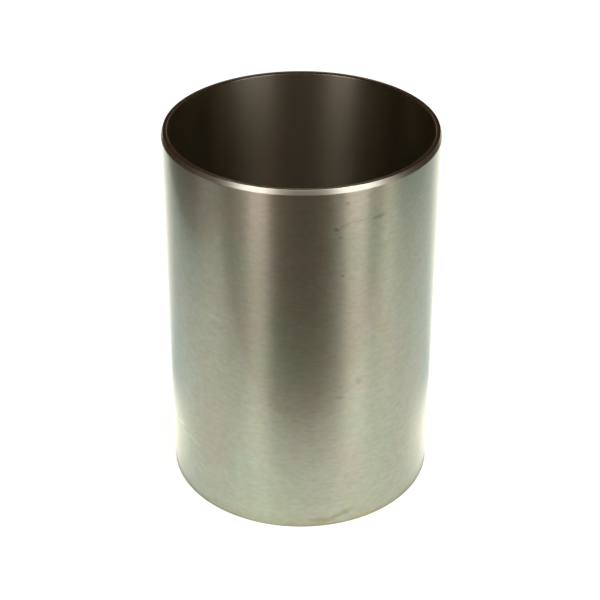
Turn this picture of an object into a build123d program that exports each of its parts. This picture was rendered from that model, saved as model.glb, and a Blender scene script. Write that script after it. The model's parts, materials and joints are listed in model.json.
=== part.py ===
from build123d import *
from math import radians, tan
import os

# Dry cylinder liner: a thin-walled grey-iron sleeve, cast and turned as one piece.
# The outer wall is ground and pressed into the block, and the bore is honed for the piston.
# It stands on its foot, with the tapered end that enters the block first pointing up.
# Origin: centre of the foot face. +Z runs up the bore axis. Millimetres and degrees.

# Sleeve
bore_dia = 93.0         # honed bore
wall = 2.5              # between the bore and the ground outer wall
sleeve_length = 139.3   # foot face to top face

# Lead-in taper round the outer edge of the top
lead_length = 1.75      # along the axis
lead_angle = 20.0       # from the axis

# 45 degree edge breaks
top_mouth_break = 0.25  # bore edge at the top
foot_mouth_break = 0.4  # bore edge at the foot
foot_edge_break = 0.3   # outer edge at the foot

bore_radius = bore_dia / 2
outer_radius = bore_radius + wall
lead_depth = lead_length * tan(radians(lead_angle))

with BuildPart() as liner:
    # Half section of the wall, with the taper at its upper outer corner
    with BuildSketch(Plane.XZ) as section:
        with BuildLine():
            Polyline(
                (bore_radius, 0),
                (outer_radius, 0),
                (outer_radius, sleeve_length - lead_length),
                (outer_radius - lead_depth, sleeve_length),
                (bore_radius, sleeve_length),
                close=True,
            )
        make_face()
    revolve(axis=Axis.Z)

    # The circular edges at each end, from the bore outwards
    rims = liner.edges().filter_by(GeomType.CIRCLE).group_by(Axis.Z)
    foot_rim = rims[0].sort_by(SortBy.RADIUS)
    top_rim = rims[-1].sort_by(SortBy.RADIUS)

    chamfer(top_rim[0], length=top_mouth_break)
    chamfer(foot_rim[0], length=foot_mouth_break)
    chamfer(foot_rim[-1], length=foot_edge_break)

liner.part.label = "liner"

os.makedirs("parts", exist_ok=True)
export_step(liner.part, "parts/liner.step")
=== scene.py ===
import json
import math

import bmesh
import bpy
from bpy.props import FloatProperty, IntProperty, PointerProperty, StringProperty
from mathutils import Matrix, Vector


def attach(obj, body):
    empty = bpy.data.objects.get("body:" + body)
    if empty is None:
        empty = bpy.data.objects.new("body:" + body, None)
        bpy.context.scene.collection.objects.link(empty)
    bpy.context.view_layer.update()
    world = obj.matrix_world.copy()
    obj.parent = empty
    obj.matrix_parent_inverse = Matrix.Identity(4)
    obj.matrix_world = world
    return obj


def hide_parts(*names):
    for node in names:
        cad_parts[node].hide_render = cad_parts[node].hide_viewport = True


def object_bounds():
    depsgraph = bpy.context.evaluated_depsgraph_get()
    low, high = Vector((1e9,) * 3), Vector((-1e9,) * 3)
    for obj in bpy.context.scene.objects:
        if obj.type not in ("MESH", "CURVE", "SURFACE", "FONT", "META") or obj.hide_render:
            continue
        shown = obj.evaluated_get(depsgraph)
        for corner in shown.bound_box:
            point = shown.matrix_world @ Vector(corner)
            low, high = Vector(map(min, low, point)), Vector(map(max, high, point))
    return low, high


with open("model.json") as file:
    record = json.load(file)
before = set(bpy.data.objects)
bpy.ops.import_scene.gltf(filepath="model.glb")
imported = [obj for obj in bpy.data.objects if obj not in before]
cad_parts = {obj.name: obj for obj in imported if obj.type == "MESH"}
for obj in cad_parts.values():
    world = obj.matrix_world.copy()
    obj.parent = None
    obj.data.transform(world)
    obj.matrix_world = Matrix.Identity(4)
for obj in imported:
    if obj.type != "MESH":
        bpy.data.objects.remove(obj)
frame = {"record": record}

bl_info = {
    "name": "Cylinder Liner",
    "version": (1, 0, 0),
    "blender": (4, 5, 0),
    "location": "View3D > Sidebar > Liner",
    "description": "Turns, grinds and hones a dry cylinder liner and sets it on a small table",
    "category": "Mesh",
}

CAD_LOW, CAD_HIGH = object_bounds()
MOUNTS = {mount["name"]: mount for mount in frame["record"]["mounts"]}
MM = 0.001
SAME_POINT = 1e-7


def mount_span(name):
    """Radius and the lowest and highest z of a round mount, in metres."""
    mount = MOUNTS[name]
    half = mount["dims"]["length_mm"] * MM / 2
    middle = mount["pos_m"][2]
    return mount["dims"]["r_mm"] * MM, middle - half, middle + half


OUTER_RADIUS, OUTER_LOW, OUTER_HIGH = mount_span("outer_wall")
BORE_RADIUS, BORE_LOW, BORE_HIGH = mount_span("bore")
TOP = CAD_HIGH.z


# ---------------------------------------------------------------- settings


class LinerSizes(bpy.types.PropertyGroup):
    lead_angle: FloatProperty(
        name="Lead-in Angle",
        description="Angle of the lead-in taper from the axis",
        default=math.radians(20.0),
        subtype="ANGLE",
    )
    edge_round: FloatProperty(
        name="Edge Round",
        description="Length of the round that deburring leaves on each turned corner",
        default=0.1 * MM,
        subtype="DISTANCE",
    )
    edge_guard: FloatProperty(
        name="Edge Guard",
        description="Width of the loop that keeps the shading of a corner off its neighbours",
        default=0.3 * MM,
        subtype="DISTANCE",
    )
    segments: IntProperty(
        name="Segments",
        description="Steps round the liner",
        default=512,
        min=64,
    )


class LinerFinish(bpy.types.PropertyGroup):
    ground: StringProperty(
        name="Ground Iron",
        description="Colour of the ground outer wall",
        default="#BBC2A9",
    )
    ground_warm: StringProperty(
        name="Ground Iron, Warm",
        description="Colour of the outer wall where handling has warmed it",
        default="#C5BAA8",
    )
    honed: StringProperty(
        name="Honed Iron",
        description="Colour of the honed bore",
        default="#A29786",
    )
    honed_cool: StringProperty(
        name="Honed Iron, Cool",
        description="Colour of the bore where the hone has left it greener",
        default="#989680",
    )
    turned: StringProperty(
        name="Turned Iron",
        description="Colour of the turned end faces",
        default="#E0D8C8",
    )
    bright: StringProperty(
        name="Bright Iron",
        description="Colour of the taper, the last cut and the cleanest",
        default="#D9DACA",
    )
    stain: StringProperty(
        name="Stain",
        description="Colour of the dark rubs and pits on the outer wall",
        default="#40332E",
    )
    dried_oil: StringProperty(
        name="Dried Oil",
        description="Colour of the smear of dried oil at the foot",
        default="#7E6A42",
    )
    scuff: StringProperty(
        name="Scuff",
        description="Colour of the light rubs on the outer wall",
        default="#E4E2D6",
    )
    foot_tint: StringProperty(
        name="Foot Tint",
        description="Colour of the dried oil film just above the foot",
        default="#B5AC84",
    )


class LinerStudio(bpy.types.PropertyGroup):
    paper: StringProperty(
        name="Paper",
        description="Colour of the paper on the table",
        default="#B5B5B4",
    )
    paper_glow: FloatProperty(
        name="Paper Glow",
        description="How much brighter than lit paper the iron sees the table",
        default=0.67,
        min=0.0,
    )
    paper_glow_color: StringProperty(
        name="Paper Glow Colour",
        description="Colour of that glow",
        default="#E7FEFF",
    )
    back_glow: FloatProperty(
        name="Back Glow",
        description="The glow behind the liner, which whitens its sides",
        default=1.7,
        min=0.0,
    )
    back_glow_color: StringProperty(
        name="Back Glow Colour",
        description="Colour of the glow behind the liner",
        default="#FFFFF2",
    )
    paper_seen: StringProperty(
        name="Paper Seen",
        description="Colour of the paper under the white, on which the shadow falls",
        default="#898989",
    )
    room: StringProperty(
        name="Room",
        description="Colour of the dim room round the table",
        default="#392B20",
    )
    overhead: FloatProperty(
        name="Overhead",
        description="Share of the room's light that is left overhead",
        default=0.2,
        min=0.0,
        subtype="FACTOR",
    )


# ---------------------------------------------------------------- nodes


def linear(code):
    """sRGB hex to linear RGBA."""
    parts = [int(code[i : i + 2], 16) / 255 for i in (1, 3, 5)]
    return [c / 12.92 if c <= 0.04045 else ((c + 0.055) / 1.055) ** 2.4 for c in parts] + [1.0]


def add(tree, kind, inputs=None, **settings):
    """Adds a node, sets its options and fills its sockets with values or links."""
    made = tree.nodes.new(kind)
    for option, value in settings.items():
        setattr(made, option, value)
    for socket, value in (inputs or {}).items():
        if isinstance(value, bpy.types.NodeSocket):
            tree.links.new(value, made.inputs[socket])
        else:
            made.inputs[socket].default_value = value
    return made


def new_material(name):
    """An empty material, its node tree and the Object coordinates."""
    material = bpy.data.materials.new(name)
    material.use_nodes = True
    tree = material.node_tree
    tree.nodes.clear()
    return material, tree, add(tree, "ShaderNodeTexCoord").outputs["Object"]


def grain(tree, place, size, detail=2.0):
    """Noise about 0.5 whose grains measure size, in millimetres along x, y and z."""
    spot = add(
        tree,
        "ShaderNodeMapping",
        {"Vector": place, "Scale": [1 / (length * MM) for length in size]},
    )
    return add(
        tree, "ShaderNodeTexNoise", {"Vector": spot.outputs[0], "Scale": 1.0, "Detail": detail}
    ).outputs["Fac"]


def iron(tree, color, roughness, height, *, depth, anisotropic, oil=0.0):
    """Iron that a tool has cut round the axis: light spreads across its lines.

    Depth is that of the relief in millimetres. A thin film of oil, where there
    is one, whitens the iron at grazing angles.
    """
    relief = add(
        tree, "ShaderNodeBump", {"Strength": 1.0, "Distance": depth * MM, "Height": height}
    )
    # The quarter turn spreads light across the lines that run round the axis
    lay = add(tree, "ShaderNodeTangent", direction_type="RADIAL", axis="Z")
    shader = add(
        tree,
        "ShaderNodeBsdfPrincipled",
        {
            "Base Color": color,
            "Metallic": 1.0,
            "Roughness": roughness,
            "Anisotropic": anisotropic,
            "Anisotropic Rotation": 0.25,
            "Normal": relief.outputs[0],
            "Tangent": lay.outputs[0],
            "Coat Weight": oil,
            "Coat Roughness": 0.12,
        },
    )
    add(tree, "ShaderNodeOutputMaterial", {"Surface": shader.outputs[0]})


# ---------------------------------------------------------------- finishes

# Marks on the outer wall, in millimetres and degrees: distance round the wall
# from the front, height, half length, half width, tilt, strength.
# Dark rubs and pits
DARK_MARKS = (
    (11.7, 124.3, 1.0, 0.85, 0, 0.45),
    (14.2, 125.4, 3.6, 0.70, 20, 0.24),
    (20.0, 126.4, 5.5, 0.60, 2, 0.10),
    (27.0, 126.3, 3.4, 0.80, 5, 0.36),
    (13.0, 121.2, 0.9, 0.80, 0, 0.27),
    (14.0, 106.6, 0.9, 0.80, 0, 0.28),
    (6.7, 115.2, 0.6, 0.50, 0, 0.20),
    (15.2, 133.6, 1.0, 0.90, 0, 0.26),
    (-6.5, 114.0, 1.6, 0.50, 0, 0.18),
    (20.8, 62.6, 2.0, 1.90, 0, 0.22),
    (13.8, 57.0, 2.2, 0.65, -4, 0.26),
    (-11.0, 54.0, 1.6, 0.45, 0, 0.22),
    (42.5, 33.3, 1.6, 0.45, 25, 0.20),
)
# Dried oil
OIL_MARKS = (
    (8.0, 3.0, 6.0, 1.1, -2, 0.34),
    (13.0, 3.6, 3.6, 0.9, 10, 0.44),
    (16.6, 5.0, 4.4, 1.5, 14, 0.32),
)
# Light scuffs
LIGHT_MARKS = (
    (-56.0, 26.9, 5.0, 0.80, 14, 0.50),
    (-46.0, 25.0, 3.6, 0.90, -16, 0.25),
    (-52.5, 24.4, 2.6, 0.60, 10, 0.25),
    (-32.5, 85.0, 4.2, 0.60, -2, 0.25),
)

# A mark fades from its full strength to nothing, in parts of its half size
MARK_FULL, MARK_GONE = 0.2, 1.25


def marks(tree, around, table):
    """The marks of one table as a share from 0 to 1."""
    total = 0.0
    for distance, height, half_length, half_width, tilt, strength in table:
        spot = add(
            tree,
            "ShaderNodeMapping",
            {
                "Vector": around,
                "Location": (distance * MM, height * MM, 0),
                "Rotation": (0, 0, math.radians(tilt)),
                "Scale": (half_length * MM, half_width * MM, 1),
            },
            vector_type="TEXTURE",
        )
        away = add(tree, "ShaderNodeVectorMath", {0: spot.outputs[0]}, operation="LENGTH")
        mark = add(
            tree,
            "ShaderNodeMapRange",
            {
                "Value": away.outputs["Value"],
                "From Min": MARK_GONE,
                "From Max": MARK_FULL,
                "To Max": strength,
            },
            interpolation_type="SMOOTHSTEP",
        )
        total = add(
            tree, "ShaderNodeMath", {0: mark.outputs[0], 1: total}, operation="MAXIMUM"
        ).outputs[0]
    return total


def unroll(tree, place, radius):
    """The wall laid flat: distance round from the front, and height."""
    xyz = add(tree, "ShaderNodeSeparateXYZ", {0: place})
    back = add(tree, "ShaderNodeMath", {0: xyz.outputs["Y"], 1: -1.0}, operation="MULTIPLY")
    angle = add(
        tree, "ShaderNodeMath", {0: xyz.outputs["X"], 1: back.outputs[0]}, operation="ARCTAN2"
    )
    around = add(tree, "ShaderNodeMath", {0: angle.outputs[0], 1: radius}, operation="MULTIPLY")
    flat = add(tree, "ShaderNodeCombineXYZ", {"X": around.outputs[0], "Y": xyz.outputs["Z"]})
    return flat.outputs[0], xyz.outputs["Z"]


def ground_iron(finish):
    """The outer wall, in centreless-ground grey iron."""
    # Short level lines from the wheel give the wall a satin sheen that runs up
    # and down it. Handling has left rubs and scuffs, and a thin film of oil.
    material, tree, place = new_material("grey_iron_ground")
    # The wheel's lines are about 0.05 mm apart: drawn at 1 mm so that they show.
    dashes = grain(tree, place, (2.6, 2.6, 1.3), 1.0)
    lines = grain(tree, place, (24.0, 24.0, 0.9), 1.0)
    height = add(
        tree, "ShaderNodeMath", {0: lines, 1: 0.35, 2: dashes}, operation="MULTIPLY_ADD"
    ).outputs[0]

    # The marks' outlines wander a little
    flat, up = unroll(tree, place, OUTER_RADIUS)
    ragged = add(
        tree,
        "ShaderNodeTexNoise",
        {"Vector": place, "Scale": 1 / (1.2 * MM), "Detail": 1.0},
    )
    centred = add(
        tree,
        "ShaderNodeVectorMath",
        {0: ragged.outputs["Color"], 1: (0.5, 0.5, 0.5)},
        operation="SUBTRACT",
    )
    nudged = add(
        tree,
        "ShaderNodeVectorMath",
        {0: centred.outputs[0], 1: (1.6 * MM, 0.8 * MM, 0), 2: flat},
        operation="MULTIPLY_ADD",
    ).outputs[0]
    # The foot's tint is strongest at the edge, and gone 7 mm up
    near_foot = add(
        tree,
        "ShaderNodeMapRange",
        {"Value": up, "From Min": 7 * MM, "From Max": 0.5 * MM, "To Max": 0.75},
        interpolation_type="SMOOTHSTEP",
    ).outputs[0]

    # Layers of colour. Between low and high, a pattern goes from none of the
    # layer to its share.
    color = linear(finish.ground)
    for pattern, low, high, share, layer in (
        # Hand prints
        (grain(tree, place, (22.0, 22.0, 34.0)), 0.3, 0.7, 1.0, finish.ground_warm),
        # Oil that has dried near the foot
        (grain(tree, place, (7.0, 7.0, 4.0)), 0.3, 0.7, near_foot, finish.foot_tint),
        # The wheel's lines
        (height, 0.4, 0.95, 0.17, finish.stain),
        # The film of oil, thicker in patches
        (grain(tree, place, (6.0, 6.0, 6.0), 1.0), 0.35, 0.65, 0.22, finish.foot_tint),
        # Graphite pores. They are under 0.1 mm: drawn at 1 mm so that they show.
        (grain(tree, place, (1.1, 1.1, 0.8), 1.0), 0.74, 0.84, 0.5, finish.stain),
        # Marks
        (marks(tree, nudged, OIL_MARKS), 0.0, 1.0, 1.0, finish.dried_oil),
        (marks(tree, nudged, LIGHT_MARKS), 0.0, 1.0, 1.0, finish.scuff),
        (marks(tree, nudged, DARK_MARKS), 0.0, 1.0, 1.0, finish.stain),
    ):
        part = add(
            tree,
            "ShaderNodeMapRange",
            {"Value": pattern, "From Min": low, "From Max": high, "To Max": share},
        )
        color = add(
            tree,
            "ShaderNodeMix",
            {0: part.outputs[0], 6: color, 7: linear(layer)},
            data_type="RGBA",
        ).outputs[2]

    # The wheel's lines also make the sheen uneven
    sheen = add(
        tree,
        "ShaderNodeMapRange",
        {
            "Value": grain(tree, place, (6.0, 6.0, 0.9), 3.0),
            "From Min": 0.3,
            "From Max": 0.7,
            "To Min": 0.32,
            "To Max": 0.345,
        },
    )
    iron(tree, color, sheen.outputs[0], height, depth=0.0032, anisotropic=0.78, oil=0.6)
    return material


def honed_iron(finish):
    """The bore, in plateau-honed grey iron."""
    # Two sets of fine crossing lines leave it dull, even and dark. They run at
    # 30 degrees from level, and are 0.1 mm apart or less: drawn at 1.5 mm so
    # that they show.
    material, tree, place = new_material("grey_iron_honed")
    slope = 1 / (BORE_RADIUS * math.tan(math.radians(30)))
    up = add(tree, "ShaderNodeSeparateXYZ", {0: place}).outputs["Z"]
    height = 0.0
    for way in (slope, -slope):
        turn = add(tree, "ShaderNodeMath", {0: up, 1: way}, operation="MULTIPLY")
        twisted = add(
            tree,
            "ShaderNodeVectorRotate",
            {"Vector": place, "Angle": turn.outputs[0]},
            rotation_type="Z_AXIS",
        )
        lines = grain(tree, twisted.outputs[0], (1.5, 1.5, 12.0))
        height = add(tree, "ShaderNodeMath", {0: lines, 1: height}, operation="ADD").outputs[0]
    color = add(
        tree,
        "ShaderNodeMix",
        {
            0: grain(tree, place, (20.0, 20.0, 45.0), 1.0),
            6: linear(finish.honed),
            7: linear(finish.honed_cool),
        },
        data_type="RGBA",
    )
    iron(tree, color.outputs[2], 0.34, height, depth=0.0016, anisotropic=0.82)
    return material


def turned_iron(finish, name, clean, roughness):
    """The end faces and the taper, in finish-turned grey iron."""
    # The tool leaves them bright, with fine feed lines round the axis. These
    # are 0.15 mm apart: drawn at 0.4 mm so that they show.
    material, tree, place = new_material(name)
    # Distance across the lines, on a face and on the taper alike
    up = add(tree, "ShaderNodeSeparateXYZ", {0: place}).outputs["Z"]
    level = add(tree, "ShaderNodeVectorMath", {0: place, 1: (1, 1, 0)}, operation="MULTIPLY")
    radius = add(tree, "ShaderNodeVectorMath", {0: level.outputs[0]}, operation="LENGTH")
    across = add(
        tree, "ShaderNodeMath", {0: radius.outputs["Value"], 1: up}, operation="SUBTRACT"
    )
    lines = add(
        tree,
        "ShaderNodeTexNoise",
        {"W": across.outputs[0], "Scale": 1 / (0.4 * MM), "Detail": 2.0},
        noise_dimensions="1D",
    ).outputs["Fac"]
    # Thin stain, in patches
    cloud = add(
        tree,
        "ShaderNodeMapRange",
        {
            "Value": grain(tree, place, (6.0, 6.0, 3.0), 3.0),
            "From Min": 0.3,
            "From Max": 0.7,
            "To Max": 0.2,
        },
    )
    color = add(
        tree,
        "ShaderNodeMix",
        {0: cloud.outputs[0], 6: linear(clean), 7: linear(finish.stain)},
        data_type="RGBA",
    )
    iron(tree, color.outputs[2], roughness, lines, depth=0.0015, anisotropic=0.3)
    return material


# ---------------------------------------------------------------- sleeve

GROUND, HONED, FACED, TAPERED = range(4)


class LINER_OT_sleeve(bpy.types.Operator):
    """Spin the liner's wall section into one closed sleeve"""

    bl_idname = "liner.sleeve"
    bl_label = "Sleeve"

    def execute(self, context):
        sizes = context.scene.liner_sizes
        finish = context.scene.liner_finish
        lead = (TOP - OUTER_HIGH) * math.tan(sizes.lead_angle)
        guard = sizes.edge_guard
        corners = [
            (BORE_RADIUS + BORE_LOW, 0.0),
            (OUTER_RADIUS - OUTER_LOW, 0.0),
            (OUTER_RADIUS, OUTER_LOW),
            (OUTER_RADIUS, OUTER_HIGH),
            (OUTER_RADIUS - lead, TOP),
            (BORE_RADIUS + TOP - BORE_HIGH, TOP),
            (BORE_RADIUS, BORE_HIGH),
            (BORE_RADIUS, BORE_LOW),
        ]
        bm = bmesh.new()
        verts = [bm.verts.new((radius, 0.0, height)) for radius, height in corners]
        for one, other in zip(verts, verts[1:] + verts[:1]):
            bm.edges.new((one, other))
        # The bore's upper edge break stays crisp: the hone runs out over it
        bmesh.ops.bevel(
            bm,
            geom=verts[:5] + verts[7:],
            offset=sizes.edge_round,
            offset_type="OFFSET",
            affect="VERTICES",
            segments=3,
            profile=0.5,
            material=-1,
        )
        # Loops beside the corners, so that smooth shading stays flat between them
        heights = (
            OUTER_LOW + guard,
            BORE_LOW + guard,
            BORE_HIGH - guard,
            OUTER_HIGH - guard,
            OUTER_HIGH + guard,
        )
        radii = (
            BORE_RADIUS + BORE_LOW + guard,
            OUTER_RADIUS - OUTER_LOW - guard,
            OUTER_RADIUS - lead - guard,
        )
        cuts = [((0, 0, height), (0, 0, 1)) for height in heights]
        cuts += [((radius, 0, 0), (1, 0, 0)) for radius in radii]
        for place, way in cuts:
            bmesh.ops.bisect_plane(
                bm,
                geom=bm.verts[:] + bm.edges[:],
                dist=SAME_POINT,
                plane_co=place,
                plane_no=way,
            )
        bmesh.ops.spin(
            bm,
            geom=bm.verts[:] + bm.edges[:],
            cent=(0, 0, 0),
            axis=(0, 0, 1),
            angle=math.tau,
            steps=sizes.segments,
            use_merge=True,
        )
        bmesh.ops.remove_doubles(bm, verts=bm.verts, dist=SAME_POINT)
        bmesh.ops.recalc_face_normals(bm, faces=bm.faces)
        for face in bm.faces:
            # Outward is -1 on the bore, 0 on an end face and 1 on the outer wall
            middle = face.calc_center_median()
            outward = face.normal.dot(Vector((middle.x, middle.y, 0)).normalized())
            # All is smooth but the bore's upper edge break
            face.smooth = middle.z < BORE_HIGH or outward > -0.1
            if outward < -0.9:
                face.material_index = HONED
            elif outward < 0 or abs(face.normal.z) > 0.9:
                face.material_index = FACED
            elif middle.z > OUTER_HIGH:
                face.material_index = TAPERED
            else:
                face.material_index = GROUND
        mesh = bpy.data.meshes.new("liner_sleeve")
        bm.to_mesh(mesh)
        bm.free()
        # In the order of GROUND, HONED, FACED, TAPERED
        for material in (
            ground_iron(finish),
            honed_iron(finish),
            turned_iron(finish, "grey_iron_faced", finish.turned, roughness=0.13),
            turned_iron(finish, "grey_iron_tapered", finish.bright, roughness=0.34),
        ):
            mesh.materials.append(material)
        sleeve = bpy.data.objects.new("liner_sleeve", mesh)
        context.scene.collection.objects.link(sleeve)
        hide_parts("liner")
        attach(sleeve, "root")
        return {"FINISHED"}


# ---------------------------------------------------------------- stage

# Lamps one metre from the liner: name, azimuth from the front and elevation in
# degrees, width and height in metres, brightness, colour.
SOFTBOXES = (
    ("softbox_right", 43, 10, 0.62, 0.50, 2.25, "#F6FBFF"),
    ("softbox_right_edge", 44, -16, 0.30, 0.30, 1.61, "#FFF2F6"),
    ("softbox_right_steep", 45, 48, 0.42, 0.20, 15.92, "#FFEEE1"),
    ("softbox_left", -37, 10, 0.42, 0.50, 2.33, "#FFF6F9"),
    ("softbox_left_edge", -33, -16, 0.26, 0.30, 1.17, "#FFF0F9"),
    ("softbox_left_high", -35, 40, 0.36, 0.40, 7.33, "#FFF5EC"),
    ("softbox_right_far", 70, -6, 0.24, 0.50, 0.85, "#FFEBDF"),
    ("softbox_left_far", -78, -12, 0.30, 0.40, 0.26, "#FFE6DF"),
    ("softbox_front_steep", 0, 48, 0.40, 0.20, 5.0, "#FFF0E6"),
    ("softbox_behind", 180, 29, 0.15, 0.12, 0.17, "#FFFAF0"),
)

# Corners of the table, in metres
TABLE_LOW = (-0.235, -0.115)
TABLE_HIGH = (0.3, 0.6)

# The paper's own light to the camera: close to the liner, clear of it, and how much of it
# is missing inside the bore, which lies in shadow. Both dimmings are painted shade, and the
# lamps' real shadow falls on top of them
WHITE_CLOSE, WHITE_CLEAR, BORE_SHADE = 0.90, 1.0, 0.7

# Sines of the elevations between which the room darkens
ROOM_BRIGHT, ROOM_DARK = 0.5, 0.85

# Camera: millimetres of sensor and lens, place in outer radii of the liner, then
# dip, turn and roll in degrees
SENSOR, LENS = 36.0, 92.13
CAMERA_BACK, CAMERA_UP = 9.95, 7.4977
CAMERA_DIP, CAMERA_TURN, CAMERA_ROLL = 31.54, 0.04, 0.185


def paper(studio):
    """White paper, which shows the camera the liner's shadow over painted shade, and the iron a
    painted glow.
    """
    material, tree, place = new_material("paper")
    path = add(tree, "ShaderNodeLightPath")
    level = add(tree, "ShaderNodeVectorMath", {0: place}, operation="LENGTH")
    distance = level.outputs["Value"]

    # What the iron sees: lit paper, and a glow all round the liner, which is painted light,
    # since the paper is no lamp.
    # The glow is missing under the liner and grows from its foot to full strength 1.5 mm beyond
    # the wall: a painted contact shadow in the iron's reflection.
    # The back glow takes over behind the liner, and beside its foot.
    way = add(tree, "ShaderNodeVectorMath", {0: place}, operation="NORMALIZE")
    xyz, unit = (
        add(tree, "ShaderNodeSeparateXYZ", {0: where}) for where in (place, way.outputs[0])
    )
    past_painted_foot_shadow, behind, beside, close, painted_shade_fade = (
        add(
            tree,
            "ShaderNodeMapRange",
            {
                "Value": value,
                "From Min": start,
                "From Max": end,
                "To Min": low,
                "To Max": high,
            },
            interpolation_type="SMOOTHSTEP",
        ).outputs[0]
        for value, start, end, low, high in (
            # Painted contact shadow in the glow: none under the liner, all of it 1.5 mm beyond
            # the wall
            (distance, OUTER_RADIUS - OUTER_LOW, OUTER_RADIUS + 1.5 * MM, 0.0, 1.0),
            (unit.outputs["Y"], 0.45, 1.0, 0.0, 1.0),
            (xyz.outputs["Y"], -30 * MM, 24 * MM, 0.0, 1.0),
            (distance, 2.0 * OUTER_RADIUS, 1.2 * OUTER_RADIUS, 0.0, 1.0),
            # Painted shade: the camera's white dims close to the liner
            (distance, 1.05 * OUTER_RADIUS, 1.8 * OUTER_RADIUS, WHITE_CLOSE, WHITE_CLEAR),
        )
    )
    corner = add(tree, "ShaderNodeMath", {0: beside, 1: close}, operation="MULTIPLY")
    back = add(tree, "ShaderNodeMath", {0: behind, 1: corner.outputs[0]}, operation="MAXIMUM")
    front_glow, back_glow = (
        [strength * part for part in linear(color)]
        for strength, color in (
            (studio.paper_glow, studio.paper_glow_color),
            (studio.back_glow, studio.back_glow_color),
        )
    )
    glow = add(
        tree,
        "ShaderNodeMix",
        {0: back.outputs[0], 6: front_glow, 7: back_glow},
        data_type="RGBA",
    )
    glowing = add(
        tree,
        "ShaderNodeMath",
        {0: past_painted_foot_shadow, 1: path.outputs["Is Glossy Ray"]},
        operation="MULTIPLY",
    )

    # What the camera sees: white that fades a little towards the liner and drops inside the
    # bore, painted shade under the real shadow
    # Painted shadow on the paper inside the bore
    inside = add(tree, "ShaderNodeMath", {0: distance, 1: BORE_RADIUS}, operation="LESS_THAN")
    white_less_painted_shade = add(
        tree,
        "ShaderNodeMath",
        {0: inside.outputs[0], 1: -BORE_SHADE, 2: painted_shade_fade},
        operation="MULTIPLY_ADD",
    )

    lit, seen = (
        add(
            tree,
            "ShaderNodeAddShader",
            {
                0: add(tree, "ShaderNodeBsdfDiffuse", {"Color": linear(color)}).outputs[0],
                1: add(tree, "ShaderNodeEmission", emission).outputs[0],
            },
        ).outputs[0]
        for color, emission in (
            (studio.paper, {"Color": glow.outputs[2], "Strength": glowing.outputs[0]}),
            (studio.paper_seen, {"Strength": white_less_painted_shade.outputs[0]}),
        )
    )
    mix = add(tree, "ShaderNodeMixShader", {0: path.outputs["Is Camera Ray"], 1: lit, 2: seen})
    add(tree, "ShaderNodeOutputMaterial", {"Surface": mix.outputs[0]})
    return material


def studio_world(studio):
    """White behind the table, and a dim brown room to everything but the camera."""
    world = bpy.data.worlds.new("studio")
    world.use_nodes = True
    tree = world.node_tree
    tree.nodes.clear()
    way = add(tree, "ShaderNodeTexCoord").outputs["Object"]
    dimmer = add(
        tree,
        "ShaderNodeMapRange",
        {
            "Value": add(tree, "ShaderNodeSeparateXYZ", {0: way}).outputs["Z"],
            "From Min": ROOM_BRIGHT,
            "From Max": ROOM_DARK,
            "To Min": 1.0,
            "To Max": studio.overhead,
        },
        interpolation_type="SMOOTHSTEP",
    )
    room = add(
        tree,
        "ShaderNodeBackground",
        {"Color": linear(studio.room), "Strength": dimmer.outputs[0]},
    )
    white = add(tree, "ShaderNodeBackground", {"Color": linear("#FFFFFF")})
    path = add(tree, "ShaderNodeLightPath")
    mix = add(
        tree,
        "ShaderNodeMixShader",
        {0: path.outputs["Is Camera Ray"], 1: room.outputs[0], 2: white.outputs[0]},
    )
    add(tree, "ShaderNodeOutputWorld", {"Surface": mix.outputs[0]})
    return world


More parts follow.
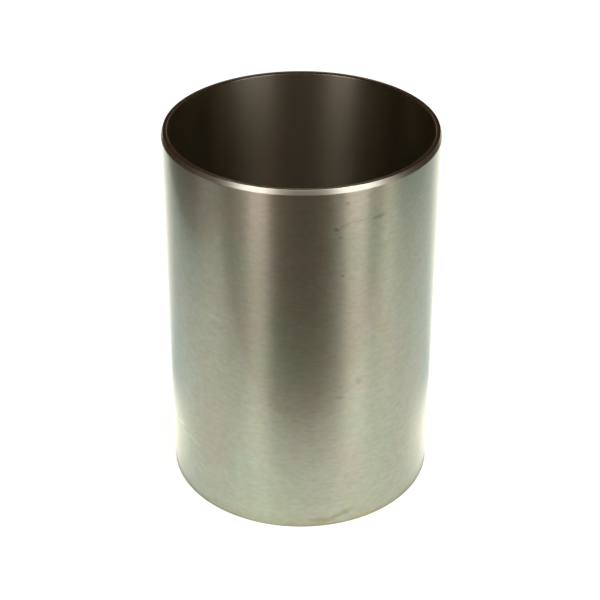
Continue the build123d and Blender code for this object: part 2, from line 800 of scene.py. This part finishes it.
class LINER_OT_stage(bpy.types.Operator):
    """Set the paper-topped table, the soft boxes, the dim room and the camera"""

    bl_idname = "liner.stage"
    bl_label = "Stage"

    def execute(self, context):
        scene = context.scene
        studio = scene.liner_studio
        scene.view_settings.view_transform = "Standard"
        scene.world = studio_world(studio)

        # Table
        bm = bmesh.new()
        bmesh.ops.create_grid(bm, x_segments=1, y_segments=1, size=0.5)
        low, high = Vector(TABLE_LOW), Vector(TABLE_HIGH)
        bmesh.ops.scale(bm, verts=bm.verts, vec=(*(high - low), 1))
        bmesh.ops.translate(bm, verts=bm.verts, vec=(*(high + low) / 2, 0))
        mesh = bpy.data.meshes.new("table")
        bm.to_mesh(mesh)
        bm.free()
        mesh.materials.append(paper(studio))
        table = bpy.data.objects.new("table", mesh)
        scene.collection.objects.link(table)

        # Soft boxes, unseen by the camera and aimed at the liner's middle
        aim = Vector((0, 0, TOP / 2))
        for name, azimuth, elevation, width, height, brightness, color in SOFTBOXES:
            around, up = math.radians(azimuth), math.radians(elevation)
            way = Vector(
                (math.sin(around) * math.cos(up), -math.cos(around) * math.cos(up), math.sin(up))
            )
            lamp = bpy.data.lights.new(name, "AREA")
            lamp.shape = "RECTANGLE"
            lamp.size, lamp.size_y = width, height
            lamp.energy = math.pi * width * height * brightness
            lamp.color = linear(color)[:3]
            box = bpy.data.objects.new(name, lamp)
            box.location = aim + way
            box.rotation_mode = "QUATERNION"
            box.rotation_quaternion = (-way).to_track_quat("-Z", "Y")
            box.visible_camera = False
            scene.collection.objects.link(box)

        # Camera
        camera = bpy.data.cameras.new("camera")
        camera.sensor_width = SENSOR
        camera.lens = LENS
        eye = bpy.data.objects.new("camera", camera)
        eye.rotation_mode = "QUATERNION"
        turn = (
            Matrix.Rotation(math.radians(CAMERA_TURN), 4, "Z")
            @ Matrix.Rotation(math.radians(90 - CAMERA_DIP), 4, "X")
            @ Matrix.Rotation(math.radians(CAMERA_ROLL), 4, "Z")
        )
        eye.rotation_quaternion = turn.to_quaternion()
        eye.location = (0.0, -CAMERA_BACK * OUTER_RADIUS, CAMERA_UP * OUTER_RADIUS)
        scene.collection.objects.link(eye)
        scene.camera = eye
        return {"FINISHED"}


class LINER_PT_panel(bpy.types.Panel):
    """List the steps that make the liner and its stage"""

    bl_label = "Cylinder Liner"
    bl_idname = "LINER_PT_panel"
    bl_space_type = "VIEW_3D"
    bl_region_type = "UI"
    bl_category = "Liner"

    def draw(self, context):
        for step in (LINER_OT_sleeve, LINER_OT_stage):
            self.layout.operator(step.bl_idname)


CLASSES = (LinerSizes, LinerFinish, LinerStudio, LINER_OT_sleeve, LINER_OT_stage, LINER_PT_panel)


def register():
    for item in CLASSES:
        bpy.utils.register_class(item)
    bpy.types.Scene.liner_sizes = PointerProperty(type=LinerSizes)
    bpy.types.Scene.liner_finish = PointerProperty(type=LinerFinish)
    bpy.types.Scene.liner_studio = PointerProperty(type=LinerStudio)


def unregister():
    del bpy.types.Scene.liner_studio
    del bpy.types.Scene.liner_finish
    del bpy.types.Scene.liner_sizes
    for item in reversed(CLASSES):
        bpy.utils.unregister_class(item)


def main():
    """Make the liner and its stage."""
    register()
    bpy.ops.liner.sleeve()
    bpy.ops.liner.stage()


if __name__ == "__main__":
    main()
